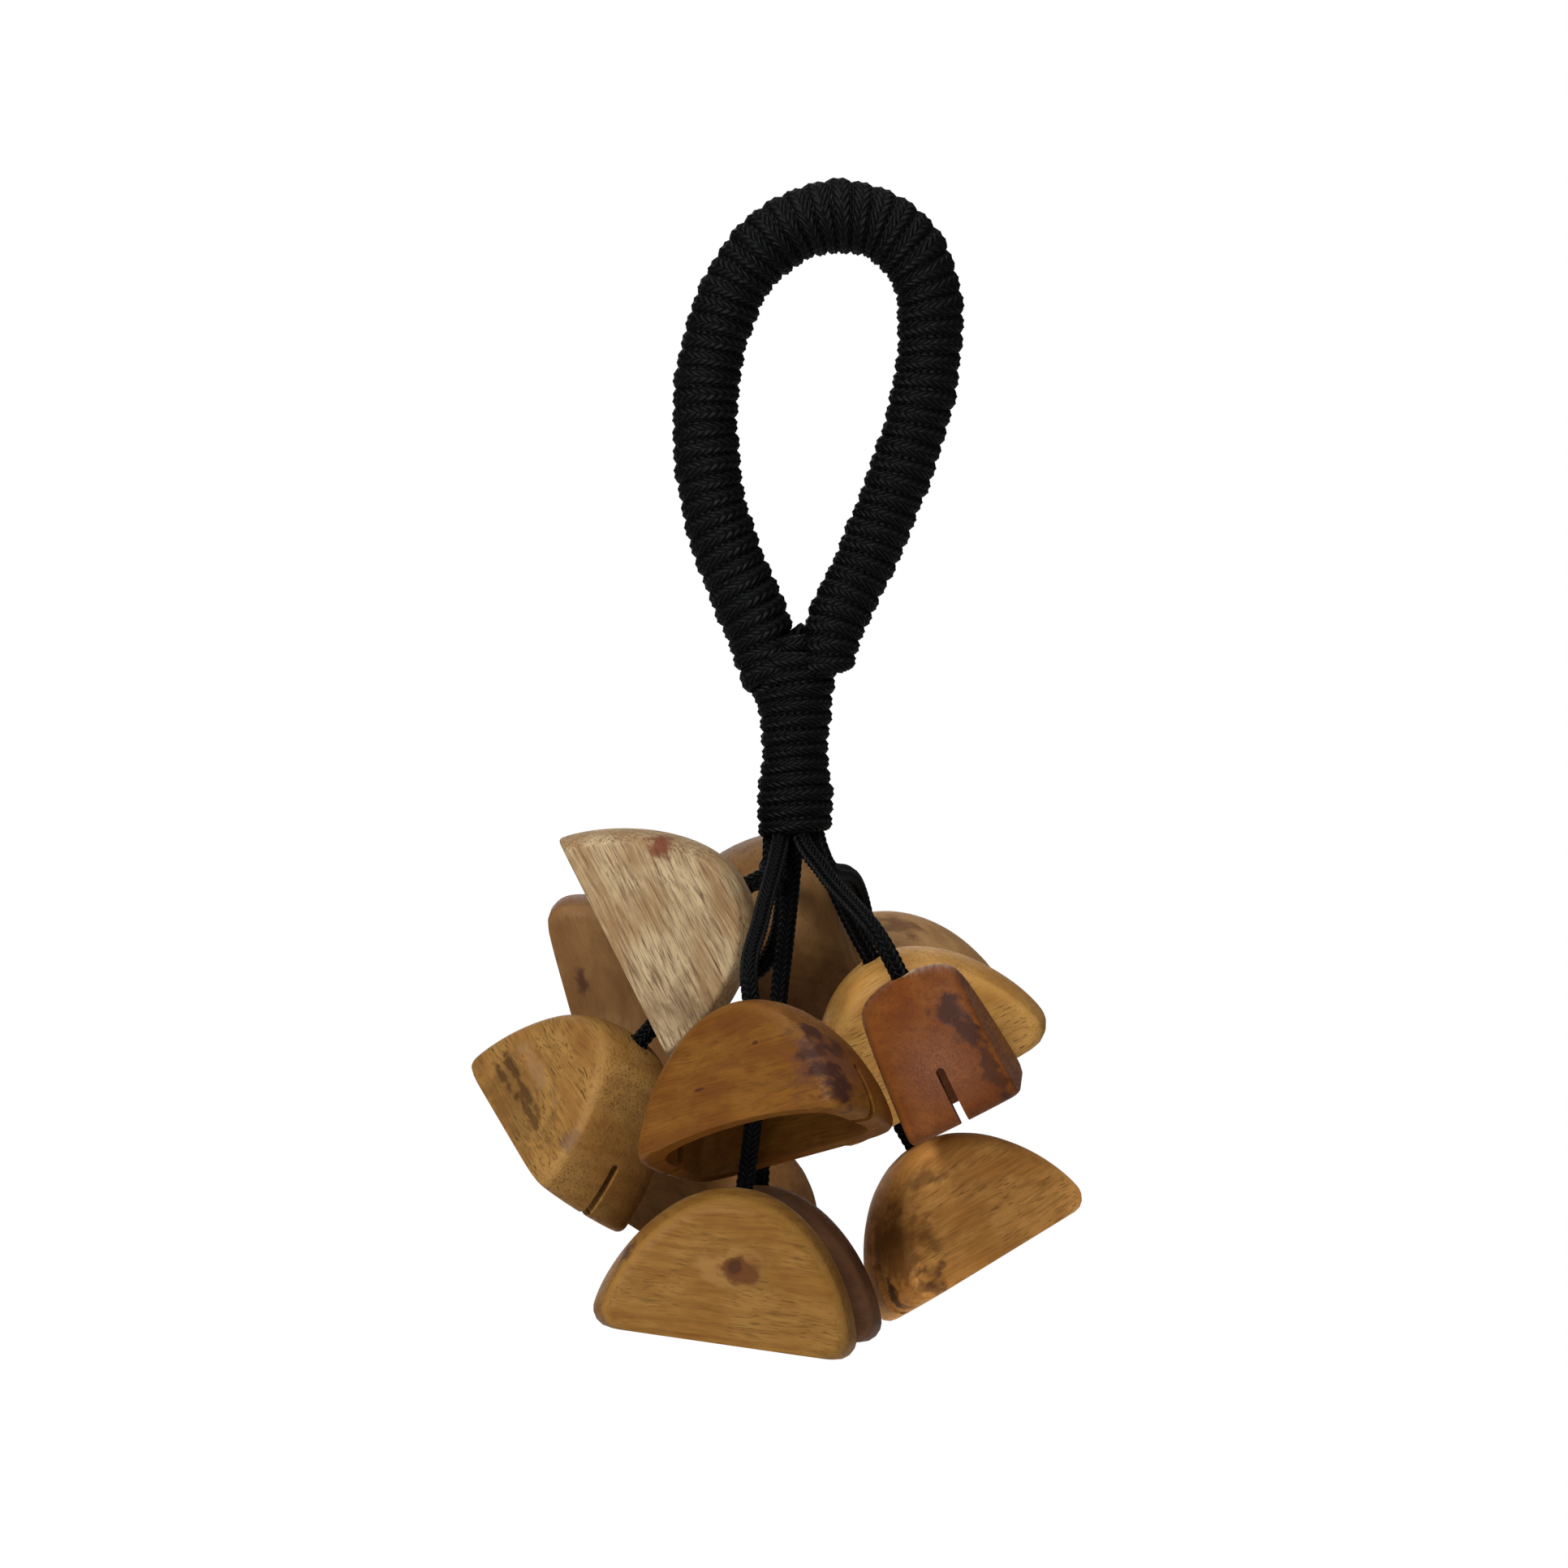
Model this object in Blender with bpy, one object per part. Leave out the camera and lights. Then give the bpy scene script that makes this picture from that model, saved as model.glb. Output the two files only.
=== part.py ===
"""A hanging hand shaker: carved wooden shells knotted on cords below a cord-wrapped loop.

The origin is the inside top of the loop, where a hook or a peg carries it. +Z is up and -Y is the front.
"""

import math

import bmesh
import bpy
from mathutils import Euler, Matrix, Vector

MM = 0.001

# Clearances between separate pieces
GAP = 0.3 * MM
HOLE_CLEARANCE = 0.45 * MM

# The cords that carry the shells
CORD_DIAMETER = 4.6 * MM
CORD_POINT_SPACING = 9.0 * MM
CORD_LEAD = 5.0 * MM
KNOT_DIAMETER = 9.6 * MM
KNOT_HEIGHT = 9.0 * MM

# The wrapped loop and neck
WRAP_PITCH = 4.6 * MM
WRAP_GROOVE = 0.8 * MM
WRAP_THICKNESS = 2.6 * MM
WRAP_SIDES = 12
LOOP_RADIUS = 8.3 * MM
LOOP_TOP_SWELL = 1.2 * MM
LOOP_END_RADIUS = 7.0 * MM
LOOP_END_TAPER = 9.0 * MM
NECK_RADIUS = 9.3 * MM
NECK_TOP = -106.4 * MM
NECK_LENGTH = 38.1 * MM
NECK_X = -11.3 * MM
MOUTH_RING_RADIUS = 5.9 * MM

# The centre line of the loop, from the neck up its left arm, over the top and down its right arm
LOOP_ROUTE = [
    (-17.6, 0.0, -105.6),
    (-19.6, 0.0, -97.5),
    (-23.2, 0.0, -88.0),
    (-26.9, 0.0, -79.3),
    (-30.0, 0.0, -70.5),
    (-32.7, 0.0, -58.8),
    (-33.9, 0.0, -46.5),
    (-33.5, 0.0, -32.2),
    (-30.3, 0.0, -17.8),
    (-24.2, 0.0, -4.5),
    (-13.6, 0.0, 5.6),
    (0.0, 0.0, 9.5),
    (11.6, 0.0, 6.5),
    (19.6, 0.0, -1.8),
    (22.7, 0.0, -12.2),
    (22.7, 0.0, -22.5),
    (21.3, 0.0, -34.2),
    (18.5, 0.0, -45.4),
    (14.0, 0.0, -58.8),
    (9.4, 0.0, -70.5),
    (4.9, -0.8, -81.0),
    (-0.3, -2.4, -91.6),
    (-2.6, -3.2, -99.0),
    (-3.3, -3.2, -105.6),
]

# One carved shell: its rim is a rectangle, and its arch rises from the rim's two ends
SHELL_WIDTH = 63.6 * MM
SHELL_HEIGHT = 37.6 * MM
SHELL_DEPTH = 30.5 * MM
SHELL_TOP_NARROWING = 4.0 * MM
SHELL_END_BULGE = 4.2 * MM
SHELL_TOP_BULGE = 5.6 * MM
SHELL_FACE_WALL = 2.8 * MM
SHELL_END_WALL = 6.4 * MM
SHELL_TOP_WALL = 6.0 * MM
SLOT_WIDTH = 2.2 * MM
SLOT_HEIGHT = 15.0 * MM
ARCH_SEGMENTS = 16
ARCH_POWER = 1.4
DEPTH_STATIONS = [-1.0, -0.86, -0.5, 0.0, 0.5, 0.86, 1.0]

WOODS = {
    "honey": (0.43, 0.21, 0.06),
    "amber": (0.36, 0.14, 0.035),
    "tan": (0.39, 0.22, 0.09),
    "grey_tan": (0.38, 0.25, 0.12),
    "red_brown": (0.28, 0.10, 0.035),
    "dark_brown": (0.17, 0.08, 0.035),
}

# Each strand: the place of its cord in the neck's mouth (degrees clockwise from the front, or None
# for the middle), then its one or two shells from the top. A shell has its cord hole's outer end in
# millimetres, its roll, tilt and yaw in degrees, its size against the common one, and its wood.
STRANDS = [
    ("left_front", 272.0, [
        ("left_front_upper", (-23.2, -9.8, -159.4), (63.3, 0.0, 0.0), 1.0, 1.0, "grey_tan"),
        ("left_front_lower", (-50.5, -16.0, -198.8), (41.3, 12.9, -54.3), 1.0, 2.5, "tan"),
    ]),
    ("left", 221.0, [
        ("left", (-29.1, 26.7, -184.0), (74.3, 10.0, 0.0), 1.0, 4.5, "tan"),
    ]),
    ("back_left", 169.0, [
        ("back_left_upper", (-17.4, 40.6, -159.3), (-18.0, 58.0, 90.0), 1.0, 4.5, "tan"),
        ("back_left_lower", (-17.5, 34.0, -223.7), (32.0, 0.0, -45.0), 1.0, 4.5, "tan"),
    ]),
    ("back_right", 118.0, [
        ("back_right", (7.1, 77.0, -171.0), (-12.0, 34.0, 0.0), 1.0, 4.5, "tan"),
    ]),
    ("right", 66.0, [
        ("right_upper", (7.9, 3.4, -178.1), (-28.7, 10.0, 0.0), 1.0, 4.5, "honey"),
        ("right_lower", (18.7, 8.0, -225.3), (-31.0, 0.0, 29.0), 0.94, 4.5, "honey"),
    ]),
    ("right_front", 15.0, [
        ("right_front", (15.0, -41.2, -182.0), (-27.0, 5.0, 86.0), 1.0, 3.0, "red_brown"),
    ]),
    ("front", 323.0, [
        ("front_upper", (-22.3, -52.9, -189.1), (-6.0, -17.0, -30.0), 1.0, 2.5, "amber"),
        ("front_lower", (-24.0, -51.5, -235.2), (8.2, 0.0, 0.0), 1.05, 5.0, "honey"),
    ]),
    ("middle", None, [
        ("middle", (-20.1, -17.1, -234.8), (3.0, 0.0, 0.0), 1.02, 5.0, "dark_brown"),
    ]),
]

# Where the cord to a shell bends between its fixed ends, in millimetres
BENDS = {
    "left_front_upper": [(-17.8, -4.6, -156.8)],
    "left_front_lower": [(-41.0, -15.0, -180.0)],
    "left": [(-14.0, 11.0, -159.5)],
    "back_left_upper": [(-12.5, 15.5, -151.5)],
    "back_left_lower": [(-0.5, 63.0, -199.0)],
    "back_right": [(-4.5, 11.5, -152.0)],
    "right_upper": [(-2.0, -1.0, -158.0)],
    "right_lower": [(15.5, 7.0, -203.0)],
    "right_front": [(-4.0, -16.5, -156.0)],
    "front_upper": [(-15.5, -12.5, -151.0), (-20.0, -34.0, -168.5)],
    "front_lower": [(-21.5, -56.0, -216.0)],
    "middle": [(-15.5, -8.5, -189.0)],
}


def clear_scene():
    for item in list(bpy.data.objects):
        bpy.data.objects.remove(item, do_unlink=True)


def material(name, colour, roughness):
    made = bpy.data.materials.new(name)
    made.use_nodes = True
    shader = made.node_tree.nodes["Principled BSDF"]
    shader.inputs["Base Color"].default_value = (*colour, 1.0)
    shader.inputs["Roughness"].default_value = roughness
    shader.inputs["Metallic"].default_value = 0.0
    return made


def add_object(name, mesh, finish=None):
    item = bpy.data.objects.new(name, mesh)
    bpy.context.scene.collection.objects.link(item)
    if finish is not None:
        mesh.materials.clear()
        mesh.materials.append(finish)
    return item


def mesh_from(name, build):
    """A new mesh that the function build fills as a bmesh."""
    form = bmesh.new()
    build(form)
    bmesh.ops.recalc_face_normals(form, faces=form.faces)
    mesh = bpy.data.meshes.new(name)
    form.to_mesh(mesh)
    form.free()
    return mesh


def smooth_route(points, spacing, first=None, last=None):
    """Points about spacing apart on a smooth curve through the given points.

    first and last are the directions of its two ends, where they are set.
    """
    chords = [b - a for a, b in zip(points, points[1:])]
    slopes = [first or chords[0].normalized()]
    for one, two in zip(chords, chords[1:]):
        share = two.length / one.length
        slopes.append((one * share + two / share) / (one.length + two.length))
    slopes.append(last or chords[-1].normalized())
    fine = [points[0]]
    steps = 24
    for start, chord, leaving, arriving in zip(points, chords, slopes, slopes[1:]):
        for step in range(1, steps + 1):
            t = step / steps
            fine.append(start + chord * (3 * t ** 2 - 2 * t ** 3)
                        + leaving * chord.length * (t ** 3 - 2 * t ** 2 + t)
                        + arriving * chord.length * (t ** 3 - t ** 2))
    reached = [0.0]
    for a, b in zip(fine, fine[1:]):
        reached.append(reached[-1] + (b - a).length)
    count = max(2, round(reached[-1] / spacing)) + 1
    route = []
    at = 0
    for index in range(count):
        wanted = reached[-1] * index / (count - 1)
        while at < len(fine) - 2 and reached[at + 1] < wanted:
            at += 1
        share = (wanted - reached[at]) / (reached[at + 1] - reached[at])
        route.append(fine[at].lerp(fine[at + 1], share))
    return route


class Route:
    """A curve that gives its point and the two directions across it at any distance along it."""

    def __init__(self, points):
        self.points = smooth_route(points, MM)
        self.step = sum((b - a).length for a, b in zip(self.points, self.points[1:]))
        self.length = self.step
        self.step /= len(self.points) - 1

    def ring_point(self, distance, radius, angle):
        place = min(max(distance / self.step, 0.0), len(self.points) - 1.000001)
        index = int(place)
        centre = self.points[index].lerp(self.points[index + 1], place - index)
        low = max(index - 1, 0)
        high = min(index + 2, len(self.points) - 1)
        along = (self.points[high] - self.points[low]).normalized()
        across = Vector((0.0, 1.0, 0.0)).cross(along).normalized()
        depth = along.cross(across)
        return centre + radius * (math.cos(angle) * across + math.sin(angle) * depth)


def wound_sleeve(form, route, outer_radius, bore_radius):
    """A sleeve of cord wound round the route: a helical ridge outside and a plain bore inside.

    Vertices lie along the helix, a ridge and a groove to each turn, so one trip round the sleeve
    leads to the next turn.
    """
    turns = max(2, round(route.length / WRAP_PITCH) - 1)
    pitch = route.length / (turns + 1)
    lines = 2 * turns

    def on_helix(line, side):
        distance = pitch * (0.25 + line / 2 + side / WRAP_SIDES)
        radius = outer_radius(distance) - (WRAP_GROOVE if line % 2 else 0.0)
        return form.verts.new(route.ring_point(distance, radius, math.tau * side / WRAP_SIDES))

    def end_ring(distance, radius_of):
        radius = radius_of(distance)
        return [form.verts.new(route.ring_point(distance, radius, math.tau * side / WRAP_SIDES))
                for side in range(WRAP_SIDES)]

    helix = [[on_helix(line, side) for side in range(WRAP_SIDES)] for line in range(lines)]
    for side in range(WRAP_SIDES - 1):
        for line in range(lines - 1):
            form.faces.new((helix[line][side], helix[line + 1][side],
                            helix[line + 1][side + 1], helix[line][side + 1]))
    last = WRAP_SIDES - 1
    for line in range(lines - 3):
        form.faces.new((helix[line][last], helix[line + 1][last],
                        helix[line + 3][0], helix[line + 2][0]))

    def groove_radius(distance):
        return outer_radius(distance) - WRAP_GROOVE

    first = end_ring(0.0, groove_radius)
    final = end_ring(route.length, groove_radius)
    for side in range(WRAP_SIDES - 1):
        form.faces.new((first[side], helix[0][side], helix[0][side + 1], first[side + 1]))
        form.faces.new((final[side], helix[-1][side], helix[-1][side + 1], final[side + 1]))
    form.faces.new((first[last], helix[0][last], helix[2][0], helix[1][0], helix[0][0], first[0]))
    form.faces.new((final[last], helix[-1][last], helix[-2][last], helix[-3][last],
                    helix[-1][0], final[0]))

    stations = max(2, round(route.length / (2 * pitch)))
    bore = [end_ring(route.length * index / stations, bore_radius) for index in range(stations + 1)]
    join_rings(form, [first, *bore, final])


def join_rings(form, rings):
    for one, two in zip(rings, rings[1:]):
        for side in range(len(one)):
            after = (side + 1) % len(one)
            form.faces.new((one[side], two[side], two[after], one[after]))


def plain_tube(form, route, radius, turns_per_station):
    """A solid bundle along the route, with the stations of the sleeve's bore."""
    turns = max(2, round(route.length / WRAP_PITCH) - 1)
    pitch = route.length / (turns + 1)
    stations = max(2, round(route.length / (turns_per_station * pitch)))
    rings = []
    for index in range(stations + 1):
        distance = route.length * index / stations
        rings.append([form.verts.new(route.ring_point(distance, radius(distance),
                                                      math.tau * side / WRAP_SIDES))
                      for side in range(WRAP_SIDES)])
    join_rings(form, rings)
    form.faces.new(rings[0])
    form.faces.new(rings[-1])


def make_handle(finish):
    loop = Route([Vector(point) * MM for point in LOOP_ROUTE])
    neck = Route([Vector((NECK_X, 0.0, NECK_TOP)),
                  Vector((NECK_X, 0.0, NECK_TOP - NECK_LENGTH / 2)),
                  Vector((NECK_X, 0.0, NECK_TOP - NECK_LENGTH))])

    def loop_outer(distance):
        top = math.sin(math.pi * distance / loop.length) ** 8
        to_end = min(distance, loop.length - distance)
        taper = max(0.0, 1.0 - to_end / LOOP_END_TAPER)
        return LOOP_RADIUS + LOOP_TOP_SWELL * top - (LOOP_RADIUS - LOOP_END_RADIUS) * taper

    def loop_bore(distance):
        return loop_outer(distance) - WRAP_THICKNESS

    def loop_core(distance):
        return loop_bore(distance) - GAP

    def neck_outer(distance):
        return NECK_RADIUS

    def neck_bore(distance):
        return NECK_RADIUS - WRAP_THICKNESS

    def neck_core(distance):
        return neck_bore(distance) - GAP

    parts = [
        ("loop_wrapping", lambda form: wound_sleeve(form, loop, loop_outer, loop_bore)),
        ("loop_core", lambda form: plain_tube(form, loop, loop_core, 2)),
        ("neck_binding", lambda form: wound_sleeve(form, neck, neck_outer, neck_bore)),
        ("neck_core", lambda form: plain_tube(form, neck, neck_core, 2)),
    ]
    for name, build in parts:
        mesh = mesh_from(name, build)
        mesh.shade_smooth()
        add_object(name, mesh, finish)


def arch(half_width, height, segments, foot):
    """The points of an arch, as (along the rim, above the rim), between two feet at one height."""
    points = []
    for step in range(segments + 1):
        turn = math.pi * step / segments
        rise = math.sin(turn) ** ARCH_POWER if 0 < step < segments else 0.0
        points.append((half_width * math.cos(turn), foot + (height - foot) * rise))
    return points


def worn_arch(half_width, height, corner):
    """A shell's outline: its arch, which meets the rim in two corners worn to a radius."""
    worn = [(half_width - corner * (1.0 - math.sin(turn)), corner * (1.0 - math.cos(turn)))
            for turn in (0.0, math.radians(45.0))]
    mirrored = [(-along, above) for along, above in reversed(worn)]
    return [*worn, *arch(half_width, height, ARCH_SEGMENTS, corner), *mirrored]


def shell_body(form, size, corner):
    """The outer form: arches lofted across the depth, fullest in the middle, on a flat rim."""
    rows = []
    for station in DEPTH_STATIONS:
        inset = 1.0 - math.sqrt(1.0 - 0.98 * station ** 2)
        outline = worn_arch(size * SHELL_WIDTH / 2 - SHELL_END_BULGE * inset,
                            size * SHELL_HEIGHT - SHELL_TOP_BULGE * inset, corner)
        row = []
        for along, above in outline:
            depth = size * SHELL_DEPTH - SHELL_TOP_NARROWING * above / SHELL_HEIGHT
            row.append(form.verts.new((along, station * depth / 2, above)))
        rows.append(row)
    for one, two in zip(rows, rows[1:]):
        for a, b, c, d in zip(one, one[1:], two[1:], two):
            form.faces.new((a, b, c, d))
    form.faces.new(rows[0])
    form.faces.new(rows[-1])
    form.faces.new([row[0] for row in rows] + [row[-1] for row in reversed(rows)])


def prism(form, outline, low, high, place):
    """A closed prism: place turns an outline point and a distance along the prism into a point."""
    near = [form.verts.new(place(point, low)) for point in outline]
    far = [form.verts.new(place(point, high)) for point in outline]
    join_rings(form, [near, far])
    form.faces.new(near)
    form.faces.new(far)


def hollow_cutter(form, size):
    """The hollow under the arch, which opens at the rim."""
    below = 2 * MM
    half = size * SHELL_WIDTH / 2 - SHELL_END_WALL
    inner = arch(half, size * SHELL_HEIGHT - SHELL_TOP_WALL, ARCH_SEGMENTS - 4, below)
    outline = [(half, -below), *inner, (-half, -below)]
    rows = []
    for side in (-1.0, 1.0):
        row = []
        for along, above in outline:
            depth = size * SHELL_DEPTH - SHELL_TOP_NARROWING * above / SHELL_HEIGHT
            row.append(form.verts.new((along, side * (depth / 2 - SHELL_FACE_WALL), above)))
        rows.append(row)
    join_rings(form, rows)
    form.faces.new(rows[0])
    form.faces.new(rows[1])


def slot_cutter(form, size):
    """One saw cut with a round top through both end walls."""
    below = 2 * MM
    radius = SLOT_WIDTH / 2
    outline = [(-radius, -below), (radius, -below)]
    for step in range(7):
        turn = math.pi * step / 6
        outline.append((radius * math.cos(turn), SLOT_HEIGHT - radius + radius * math.sin(turn)))
    reach = size * SHELL_WIDTH / 2 + below
    prism(form, outline, -reach, reach, lambda point, along: (along, point[0], point[1]))


def cord_hole_cutter(form, size):
    """The hole for the cord through the top of the arch."""
    radius = CORD_DIAMETER / 2 + HOLE_CLEARANCE
    outline = [(radius * math.cos(math.tau * step / 12), radius * math.sin(math.tau * step / 12))
               for step in range(12)]
    top = size * SHELL_HEIGHT + 2 * MM
    bottom = size * SHELL_HEIGHT - SHELL_TOP_WALL - 3 * MM
    prism(form, outline, bottom, top, lambda point, above: (point[0], point[1], above))


def shell_mesh(name, size, corner):
    """A carved shell with its hollow, slots and cord hole."""
    body = add_object(name + "_blank", mesh_from(name, lambda form: shell_body(form, size, corner)))
    cutters = []
    for tool in (hollow_cutter, slot_cutter, cord_hole_cutter):
        cutter = add_object(name + "_" + tool.__name__, mesh_from(name, lambda form: tool(form, size)))
        cut = body.modifiers.new(tool.__name__, "BOOLEAN")
        cut.operation = "DIFFERENCE"
        cut.object = cutter
        cutters.append(cutter)
    bpy.context.view_layer.update()
    graph = bpy.context.evaluated_depsgraph_get()
    mesh = bpy.data.meshes.new_from_object(body.evaluated_get(graph))
    mesh.name = name
    for item in (body, *cutters):
        bpy.data.objects.remove(item, do_unlink=True)
    mesh.shade_smooth()
    mesh.set_sharp_from_angle(angle=math.radians(28))
    return mesh


class Shell:
    """Where a shell hangs, worked out from the outer end of its cord hole."""

    def __init__(self, name, hole, turn, size, corner, wood):
        self.name = name
        self.size = size
        self.corner = corner * MM
        self.wood = wood
        roll, tilt, yaw = (math.radians(angle) for angle in turn)
        self.rotation = Euler((tilt, roll, yaw), "ZXY")
        self.up = self.rotation.to_matrix() @ Vector((0.0, 0.0, 1.0))
        self.hole = Vector(hole) * MM
        self.rim = self.hole - self.up * SHELL_HEIGHT * size
        self.knot = self.along(-SHELL_TOP_WALL - KNOT_HEIGHT / 2 - GAP)

    def along(self, distance):
        """The point on the cord hole's axis this far above its outer end."""
        return self.hole + self.up * distance

    def make(self, finish, parent):
        mesh = shell_mesh("shell_" + self.name, self.size, self.corner)
        item = add_object("shell_" + self.name, mesh, finish)
        item.rotation_mode = "ZXY"
        item.rotation_euler = self.rotation
        item.location = self.rim - parent.location
        item.parent = parent


def cord_route(start, heading, shell):
    """From the start through the cord's bends, then straight into the shell's hole to its knot."""
    bends = [Vector(point) * MM for point in BENDS[shell.name]]
    curve = smooth_route([start + heading * CORD_LEAD / 2, *bends, shell.along(CORD_LEAD)],
                         CORD_POINT_SPACING, heading, -shell.up)
    return [start, *curve, shell.knot + shell.up * (KNOT_HEIGHT / 2 + GAP)]


def make_cord(name, route, parent, finish, round_start):
    """A cord as a bevelled curve. A round start is the half ball on which it turns."""
    radius = CORD_DIAMETER / 2
    curve = bpy.data.curves.new(name, "CURVE")
    curve.dimensions = "3D"
    curve.bevel_depth = radius
    curve.bevel_resolution = 2
    curve.use_fill_caps = True
    places = [(point, 1.0) for point in route]
    if round_start:
        first = (route[1] - route[0]).normalized()
        cap = []
        for degrees in (12.0, 38.0, 64.0):
            turn = math.radians(degrees)
            cap.append((route[0] - first * radius * math.cos(turn), math.sin(turn)))
        places = cap + places
    spline = curve.splines.new("POLY")
    spline.points.add(len(places) - 1)
    for point, (place, share) in zip(spline.points, places):
        point.co = (*(place - parent.location), 1.0)
        point.radius = share
    curve.materials.append(finish)
    item = bpy.data.objects.new(name, curve)
    bpy.context.scene.collection.objects.link(item)
    item.parent = parent


def make_knot(name, shell, parent, finish):
    def build(form):
        bmesh.ops.create_uvsphere(form, u_segments=10, v_segments=6, radius=0.5)
        bmesh.ops.scale(form, vec=(KNOT_DIAMETER, KNOT_DIAMETER, KNOT_HEIGHT), verts=form.verts)

    mesh = mesh_from(name, build)
    mesh.shade_smooth()
    item = add_object(name, mesh, finish)
    item.rotation_mode = "ZXY"
    item.rotation_euler = shell.rotation
    item.location = shell.knot - parent.location
    item.parent = parent


def make_strand(strand, bearing, rows, cord_finish, wood_finish):
    """One cord with its shells, which turn together about the cord's round top end."""
    ball = CORD_DIAMETER / 2
    pivot = Vector((NECK_X, 0.0, NECK_TOP - NECK_LENGTH - GAP - ball))
    if bearing is not None:
        turn = math.radians(bearing)
        pivot += MOUTH_RING_RADIUS * Vector((math.sin(turn), -math.cos(turn), 0.0))
    anchor = bpy.data.objects.new("pivot_" + strand, None)
    anchor.location = pivot
    bpy.context.scene.collection.objects.link(anchor)

    start = pivot
    heading = Vector((0.0, 0.0, -1.0))
    for shell in (Shell(*row) for row in rows):
        make_cord("cord_" + shell.name, cord_route(start, heading, shell), anchor, cord_finish,
                  start == pivot)
        shell.make(wood_finish[shell.wood], anchor)
        make_knot("knot_" + shell.name, shell, anchor, cord_finish)
        start = shell.knot - shell.up * (KNOT_HEIGHT / 2 + GAP)
        heading = -shell.up


def main():
    clear_scene()
    black = material("black_cord", (0.012, 0.013, 0.016), 0.75)
    woods = {name: material(name + "_wood", colour, 0.45) for name, colour in WOODS.items()}
    make_handle(black)
    for strand, bearing, rows in STRANDS:
        make_strand(strand, bearing, rows, black, woods)


main()
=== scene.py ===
"""The looks of a hanging shell shaker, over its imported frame.

Lengths are in metres, in the frame of the CAD model: the origin is the inside top of the loop,
+Z is up, and the camera looks along +Y.
"""

import math

import bmesh
import bpy
import numpy as np
from mathutils import Euler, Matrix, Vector


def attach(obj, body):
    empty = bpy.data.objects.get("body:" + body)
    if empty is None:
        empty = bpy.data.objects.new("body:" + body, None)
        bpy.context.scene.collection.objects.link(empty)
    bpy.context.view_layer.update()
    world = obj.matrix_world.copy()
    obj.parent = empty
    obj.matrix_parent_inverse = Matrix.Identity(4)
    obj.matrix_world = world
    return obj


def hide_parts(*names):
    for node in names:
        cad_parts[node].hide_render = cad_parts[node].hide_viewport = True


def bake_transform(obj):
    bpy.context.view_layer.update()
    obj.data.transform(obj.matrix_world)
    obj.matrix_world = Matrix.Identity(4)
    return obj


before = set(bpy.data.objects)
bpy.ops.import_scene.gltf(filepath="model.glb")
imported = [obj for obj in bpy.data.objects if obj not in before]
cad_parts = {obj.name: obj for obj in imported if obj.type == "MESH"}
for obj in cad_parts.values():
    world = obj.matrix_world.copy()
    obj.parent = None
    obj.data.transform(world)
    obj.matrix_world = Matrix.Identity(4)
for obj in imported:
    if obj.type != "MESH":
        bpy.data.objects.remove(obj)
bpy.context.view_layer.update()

MM = 0.001

# The photograph's frame, and the camera far in front of it
FRAME_WIDTH = 396.06 * MM
FRAME_CENTRE = Vector((-14.1 * MM, 0.0, -133.9 * MM))
CAMERA_DISTANCE = 8.0
SENSOR_WIDTH = 36.0

# Sizes that the CAD model gives
GAP = 0.3 * MM
CORD_DIAMETER = 4.6 * MM
CORD_LEAD = 5.0 * MM
KNOT_HEIGHT = 9.0 * MM
HOLE_RADIUS = 2.75 * MM
NECK_X = -11.3 * MM
MOUTH_HEIGHT = -144.5 * MM
MOUTH_RING_RADIUS = 5.9 * MM
SHELL_WIDTH = 63.6 * MM
SHELL_HEIGHT = 37.6 * MM
SHELL_DEPTH = 30.5 * MM
SHELL_TOP_NARROWING = 4.0 * MM
SHELL_END_BULGE = 4.2 * MM
SHELL_TOP_BULGE = 5.6 * MM
SHELL_FACE_WALL = 2.8 * MM
SHELL_END_WALL = 6.4 * MM
SHELL_TOP_WALL = 6.0 * MM
SLOT_WIDTH = 2.2 * MM
SLOT_HEIGHT = 15.0 * MM
ARCH_POWER = 1.4

# How far the tools that carve a shell reach beyond its wood
CUTTER_REACH = 2.0 * MM

# The braid of the cord: columns of slanted stitches round it, which meet in downward chevrons.
# The powers round a stitch along the cord and across its column.
STITCH_COLUMNS = 8
STITCH_PITCH = 1.75 * MM
STITCH_SLANT = 1.15
STITCH_DEPTH = 0.55 * MM
STITCH_POWER = 0.6
COLUMN_POWER = 0.5

# How finely the cords and knots are made: the distance between rings of points, and their sides
CORD_SPACING = 0.32 * MM
CORD_SIDES = 40
KNOT_SPACING = 0.4 * MM
KNOT_SIDES = 24

# How much the cord's stitches stand out from its smooth solid, and the cord's radius in a knot,
# where it is pulled thin
CORD_SWELL = 0.12 * MM
KNOT_CORD_RADIUS = 1.95 * MM

# The spacing of the wrapping's turns
LOOP_PITCH = 4.45 * MM
NECK_PITCH = 3.9 * MM

# The centre line of the loop, in millimetres
LOOP_ROUTE = [
    (-17.6, 0.0, -105.6), (-19.6, 0.0, -97.5), (-23.2, 0.0, -88.0), (-26.9, 0.0, -79.3),
    (-30.0, 0.0, -70.5), (-32.7, 0.0, -58.8), (-33.9, 0.0, -46.5), (-33.5, 0.0, -32.2),
    (-30.3, 0.0, -17.8), (-24.2, 0.0, -4.5), (-13.6, 0.0, 5.6), (0.0, 0.0, 9.5),
    (11.6, 0.0, 6.5), (19.6, 0.0, -1.8), (22.7, 0.0, -12.2), (22.7, 0.0, -22.5),
    (21.3, 0.0, -34.2), (18.5, 0.0, -45.4), (14.0, 0.0, -58.8), (9.4, 0.0, -70.5),
    (4.9, -0.8, -81.0), (-0.3, -2.4, -91.6), (-2.6, -3.2, -99.0), (-3.3, -3.2, -105.6),
]

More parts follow.
